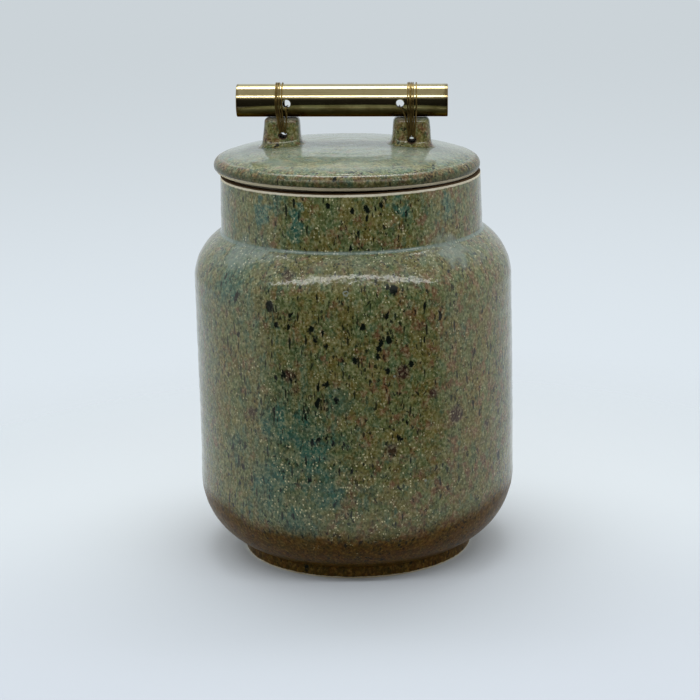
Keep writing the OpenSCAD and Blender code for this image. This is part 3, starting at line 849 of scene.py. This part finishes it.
def brass(groups):
    mat, s, shader, place = new_material("brass")
    turned_place = s.node_in("ShaderNodeCombineXYZ", None)
    x, y, z = s.split(place)
    for socket, value in zip(turned_place.inputs, (z, x, y)):
        s.put(socket, value)
    wear = use_group(s, groups["metal"], Place=turned_place.outputs[0], Length=0.02)
    tone = s.mix(s.ramp(wear["Lines"], 0.3, 0.7), srgb(192, 178, 134), srgb(202, 190, 148))
    tone = s.mix(s.math("MULTIPLY", wear["Tarnish"], 0.25), tone, srgb(152, 130, 80))
    # The underside is darker: a painted dark reflection of the shaded lid below, its edge broken by the tarnish noise
    painted_dark_underside = s.ramp(s.math("ADD", x, s.math("MULTIPLY", wear["Tarnish"], 1.0)), -0.5, 5.5)
    tone = s.mix(s.math("MULTIPLY", painted_dark_underside, 0.9), tone, srgb(70, 54, 18))
    ends = s.ramp(s.math("ADD", s.math("ABSOLUTE", z), s.math("MULTIPLY", wear["Tarnish"], 1.5)), 49.5, 51.5, 0.0, 0.6)
    tone = s.mix(ends, tone, srgb(104, 82, 44))
    s.put(shader.inputs["Base Color"], tone)
    # The underside's reflection tint is darkened too: painted dark reflection
    s.put(shader.inputs["Specular Tint"], s.mix(s.ramp(x, -0.8, 5.2), (1, 1, 1, 1), srgb(150, 130, 80)))
    shader.inputs["Metallic"].default_value = 1.0
    s.put(shader.inputs["Roughness"], s.ramp(wear["Lines"], 0.3, 0.7, 0.1, 0.15))
    add_bump(s, shader, wear["Lines"], 0.05, 0.0001)
    return mat


def aged_wire(groups):
    mat, s, shader, place = new_material("aged_wire")
    wear = use_group(s, groups["metal"], Place=place, Length=1.0)
    tone = s.mix(wear["Tarnish"], srgb(126, 107, 62), srgb(78, 63, 34))
    s.put(shader.inputs["Base Color"], tone)
    shader.inputs["Metallic"].default_value = 1.0
    s.put(shader.inputs["Roughness"], s.ramp(wear["Lines"], 0.3, 0.7, 0.28, 0.45))
    add_bump(s, shader, wear["Lines"], 0.15, 0.0001)
    return mat


# Where the glaze ran thick and turned teal: middle, reach and amount
TEAL_POOLS = [
    ((-41.6, -48.8, 181), 6, 1.4),
    ((-26, -58.5, 182), 6, 1.4),
    ((-34, -54.2, 187), 7, 0.7),
    ((-25.4, -58.9, 174.5), 7, 0.7),
    ((21.3, -60.3, 185), 6, 1.0),
    ((45.2, -45.4, 180.4), 8, 0.8),
    ((-37.1, -69.4, 85.1), 11, 0.6),
    ((-23.1, -75.3, 74.3), 12, 0.6),
    ((-58.4, -52.9, 68.1), 11, 0.5),
    ((-41.5, -67, 51.1), 13, 0.6),
    ((-12.8, -77.8, 52.6), 11, 0.6),
    ((-26.7, -73, 31.2), 12, 0.5),
    ((-18.6, -76.6, 67.2), 9, 0.5),
    ((-7.1, -78.3, 95.9), 9, 0.4),
    ((-58, -51.4, 148), 13, 0.7),
    ((-60, -45, 105), 80, 0.12),
    ((-50, -55, 150), 45, 0.22),
    ((-28, -73, 62), 46, 0.42),
    ((48, -43, 140), 14, 0.4),
    ((64, 45, 120), 22, 0.6),
    ((-15, 77, 85), 30, 0.7),
    ((32, 71, 60), 20, 0.6),
    ((-66, 41, 140), 18, 0.6),
    ((-40, 50, 182), 10, 1.2),
    ((38, 51, 180), 9, 1.2),
    ((78, 5, 75), 24, 0.6),
]
# Pale milky patches at the shoulder's sides, partly crystals and partly painted sheen: middle, reach and amount
MILKY_SHEEN_POOLS = [
    ((-54, -44, 159.5), 11, 0.5),
    ((-44, -52, 161), 8, 0.5),
    ((47, -49, 160.5), 12, 0.6),
    ((58, -42, 157), 9, 0.3),
]
# Small pale marks: single dots, and one ring
PALE_DOTS = [
    ((32.6, -71.8, 54.4), 0.9, 1.5),
    ((18.6, -76.6, 107.2), 0.8, 1.5),
    ((-9.5, -78.1, 101.2), 0.7, 1.2),
    ((70, 35, 70), 0.8, 1.5),
]
PALE_RING = (-3.4, -77.9, 147.6)
CRYSTAL_FIELDS = [
    ((0, -78, 100), 240, 0.65),
    ((-5, -78, 50), 50, 1.4),
    ((-40, -66, 95), 40, 0.35),
    ((10, -78, 128), 40, 0.3),
    ((0, -64, 178), 60, 0.3),
    ((15, 77, 60), 55, 0.9),
    ((77, 15, 90), 40, 0.5),
]
# Soft brown clouds in the glaze
BROWN_CLOUDS = [
    ((47.8, -62.6, 84.2), 5.8, 1.4),
    ((22.6, -75.3, 108.9), 4.8, 1.4),
    ((36.7, -69.6, 96.8), 3.4, 1.1),
    ((-30, -67.6, 154.6), 4.6, 0.9),
    ((63, -47.2, 74.8), 4.0, 0.9),
    ((-49.2, -61.4, 87), 4.0, 0.9),
    ((16.8, -77, 71.5), 4.6, 0.9),
    ((-31.2, -72.2, 107.8), 4.6, 1.0),
    ((-10, 78, 128), 5.0, 1.2),
    ((66, 44, 92), 4.5, 1.2),
    ((-60, 51, 78), 4.6, 1.2),
]
# Iron spots large enough to be told apart
IRON_SPOTS = [
    ((-39.2, -68, 140.1), 2.7, 1.8),
    ((18.8, -74.8, 148.1), 2.5, 1.8),
    ((11.5, -77.7, 120.9), 1.8, 1.8),
    ((12.5, -77.5, 123.7), 1.7, 1.8),
    ((11, -77.8, 117.1), 1.3, 1.8),
    ((0.3, -78.6, 115.6), 1.6, 1.8),
    ((26.4, -74, 112.3), 1.7, 1.8),
    ((15.5, -77.1, 110), 1.5, 1.8),
    ((-9, -78.2, 96.4), 1.6, 1.8),
    ((4.3, -78.4, 131.7), 1.6, 1.8),
    ((-19.8, -76, 130.7), 1.6, 1.8),
    ((-36.2, -69.7, 131.4), 1.6, 1.8),
    ((0.4, -64, 183.5), 1.5, 1.8),
    ((6.9, -63.6, 184.7), 1.5, 1.8),
    ((13.8, -62.4, 185.7), 1.3, 1.8),
    ((7.8, -63.5, 182.8), 1.2, 1.8),
    ((-10.7, -63, 185.9), 1.3, 1.8),
    ((30, 73, 118), 2.3, 1.8),
    ((-14, 77.4, 98), 1.9, 1.8),
    ((71, 34, 112), 2.2, 1.8),
    ((-52, 59, 128), 1.8, 1.8),
    ((20, 60, 184), 1.6, 1.8),
]


def set_material(obj, mat):
    obj.data.materials.clear()
    obj.data.materials.append(mat)


# ---- studio ----

FLOOR_REACH = 400.0
FLOOR_BACK = 20.0
FLOOR_FRONT = srgb(218, 227, 239)
FLOOR_BEHIND = srgb(233, 242, 252)


def grey_level(v):
    """A slightly warm grey of this brightness."""
    return (v * 1.01, v, v * 0.94, 1.0)


def make_camera():
    pitch, yaw, roll = math.radians(14.67), math.radians(-0.12), math.radians(-1.24)
    ahead = Vector((math.sin(yaw) * math.cos(pitch), math.cos(yaw) * math.cos(pitch), -math.sin(pitch)))
    right = Vector((math.cos(yaw), -math.sin(yaw), 0))
    up = right.cross(ahead)
    cam_x = right * math.cos(roll) + up * math.sin(roll)
    cam_y = -right * math.sin(roll) + up * math.cos(roll)
    data = bpy.data.cameras.new("camera")
    data.sensor_width = 36
    data.lens = 36 * 2042.07 / 700
    data.clip_start, data.clip_end = 0.05, 60
    cam = bpy.data.objects.new("camera", data)
    bpy.context.scene.collection.objects.link(cam)
    turn = Matrix((cam_x, cam_y, -ahead)).transposed().to_4x4()
    cam.matrix_world = Matrix.Translation((0, -0.99354, 0.36043)) @ turn
    bpy.context.scene.camera = cam


def make_lamp(name, length, width, place, aim, radiance):
    """A long softbox of a light box. Its radiance is what a mirror would show of it, and 1 is white."""
    data = bpy.data.lights.new(name, "AREA")
    data.shape = "RECTANGLE"
    data.size, data.size_y = length * MM, width * MM
    data.energy = radiance * math.pi * length * MM * width * MM
    lamp = bpy.data.objects.new(name, data)
    bpy.context.scene.collection.objects.link(lamp)
    lamp.location = Vector(place) * MM
    lamp.rotation_mode = "QUATERNION"
    lamp.rotation_quaternion = (Vector(aim) - Vector(place)).to_track_quat("-Z", "Y")
    lamp.visible_camera = False
    return lamp


def background_seen(s):
    """Rays that show the plain background itself: the camera's, and those that metal, glaze and glass reflect."""
    path = s.node("ShaderNodeLightPath").outputs
    seen = s.math("MAXIMUM", path["Is Camera Ray"], path["Is Glossy Ray"])
    return s.math("MAXIMUM", seen, path["Is Transmission Ray"])


def make_floor():
    """A round of plain pale paper, which fades into the plain background and keeps the jar's shadow."""
    mesh = bpy.data.meshes.new("floor")
    rim = [(FLOOR_REACH * MM * math.cos(a), FLOOR_REACH * MM * math.sin(a), 0) for a in
           [2 * math.pi * k / 96 for k in range(96)]]
    mesh.from_pydata(rim, [], [tuple(range(96))])
    floor = bpy.data.objects.new("floor", mesh)
    floor.location = (0, FLOOR_BACK * MM, 0)
    bpy.context.scene.collection.objects.link(floor)
    mat, s, shader, place = new_material("floor_paper")
    seen = background_seen(s)
    ahead = s.split(place)[1]
    paper = s.mix(s.ramp(ahead, -200, 60), FLOOR_FRONT, FLOOR_BEHIND)
    s.put(shader.inputs["Base Color"], s.mix(seen, srgb(186, 172, 146), paper))
    shader.inputs["Roughness"].default_value = 0.95
    shader.inputs["Specular IOR Level"].default_value = 0.0
    edge = s.ramp(s.vector("LENGTH", place), FLOOR_REACH * 0.3, FLOOR_REACH * 0.96)
    fade = s.node("ShaderNodeMixShader")
    s.put(fade.inputs[0], edge)
    s.put(fade.inputs[1], shader.outputs[0])
    s.put(fade.inputs[2], s.node("ShaderNodeBsdfTransparent").outputs[0])
    out = next(n for n in s.tree.nodes if n.type == "OUTPUT_MATERIAL")
    s.put(out.inputs["Surface"], fade.outputs[0])
    set_material(floor, mat)


def make_world():
    """A light box: open and dark in front, dim overhead, pale at its sides and behind."""
    world = bpy.data.worlds.new("studio")
    bpy.context.scene.world = world
    world.use_nodes = True
    world.node_tree.nodes.clear()
    s = Sheet(world.node_tree)
    ahead = s.node("ShaderNodeTexCoord").outputs["Generated"]
    x, y, z = s.split(ahead)
    over = s.math("ARCTAN2", z, s.math("MULTIPLY", y, -1.0))
    deg = math.radians
    room = s.mix(s.ramp(over, deg(16), deg(26)), grey_level(0.015), grey_level(0.42))
    room = s.mix(s.ramp(over, deg(95), deg(115)), room, grey_level(0.9))
    # The light box's cloth glows softly past the ends of the top strip
    left = s.vector("DISTANCE", ahead, (-0.55, 0.42, 0.72))
    right = s.vector("DISTANCE", ahead, (0.57, 0.42, 0.70))
    room = s.mix(s.ramp(left, 0.3, 0.06), room, grey_level(1.5))
    room = s.mix(s.ramp(right, 0.3, 0.06), room, grey_level(1.2))
    below = s.math("MULTIPLY", s.ramp(y, -0.1, 0.4), s.ramp(z, 0.02, -0.3))
    room = s.mix(below, room, grey_level(0.78))
    side = s.math("MULTIPLY", s.ramp(s.math("ABSOLUTE", x), 0.5, 0.9), s.ramp(y, -0.6, -0.2))
    room = s.mix(side, room, grey_level(0.8))
    # The plain paper that stands behind and under the jar
    paper = s.mix(s.ramp(z, 0.15, -0.1), srgb(212, 219, 224), srgb(203, 211, 216))
    paper = s.mix(s.ramp(z, -0.1, -0.26), paper, srgb(222, 231, 238))
    paper = s.mix(s.ramp(z, -0.3, -0.44), paper, srgb(217, 225, 236))
    seen = background_seen(s)
    camera = s.node("ShaderNodeLightPath").outputs["Is Camera Ray"]
    behind = s.math("MULTIPLY", s.ramp(y, 0.25, 0.6), seen)
    light = s.node_in("ShaderNodeBackground", room)
    plain = s.node_in("ShaderNodeBackground", paper)
    choose = s.node("ShaderNodeMixShader")
    s.put(choose.inputs[0], s.math("MAXIMUM", behind, camera))
    s.put(choose.inputs[1], light.outputs[0])
    s.put(choose.inputs[2], plain.outputs[0])
    s.put(s.node("ShaderNodeOutputWorld").inputs["Surface"], choose.outputs[0])


jar = make_jar()
lid_dome = make_lid_dome()
lid_flange = make_lid_flange()
left_lug = make_lug("left_lug", LEFT_X - 0.45, 17.0, 19.4, LEFT_HOLE_X, LEFT_HOLE_Z, 0.15)
right_lug = make_lug("right_lug", RIGHT_X - 0.15, 17.5, 19.8, RIGHT_X, RIGHT_HOLE_Z, 0.0)
tube = make_tube()
left_turns = [0.7 * t for t in (-0.25, -2.35, -3.5, -4.65)]
right_turns = [0.7 * t for t in (-2.6, -1.45, -0.3, 0.9, 3.1)]
left_wire = make_binding(
    "left_wire", "binding_left", binding_route(CROSS_X[0], LEFT_HOLE_X, LEFT_HOLE_Z, left_turns, -1)
)
right_wire = make_binding(
    "right_wire", "binding_right", binding_route(CROSS_X[1], RIGHT_X, RIGHT_HOLE_Z, right_turns, 1)
)

groups = {"glaze": speckled_glaze_group(), "clay": bare_clay_group(), "metal": metal_wear_group()}
set_material(jar, jar_glaze(groups))
set_material(lid_dome, lid_glaze(groups))
set_material(lid_flange, flange_clay(groups))
lugs_finish = lug_glaze(groups)
set_material(left_lug, lugs_finish)
set_material(right_lug, lugs_finish)
set_material(tube, brass(groups))
wire_finish = aged_wire(groups)
set_material(left_wire, wire_finish)
set_material(right_wire, wire_finish)

make_camera()
make_floor()
make_world()
make_lamp("front_strip", 1200, 50, (0, -325, 450), (0, 0, 130), 6.6)
make_lamp("top_strip", 340, 90, (0, 70, 450), (0, 70, 0), 5.7)
bpy.context.scene.view_settings.view_transform = "Standard"
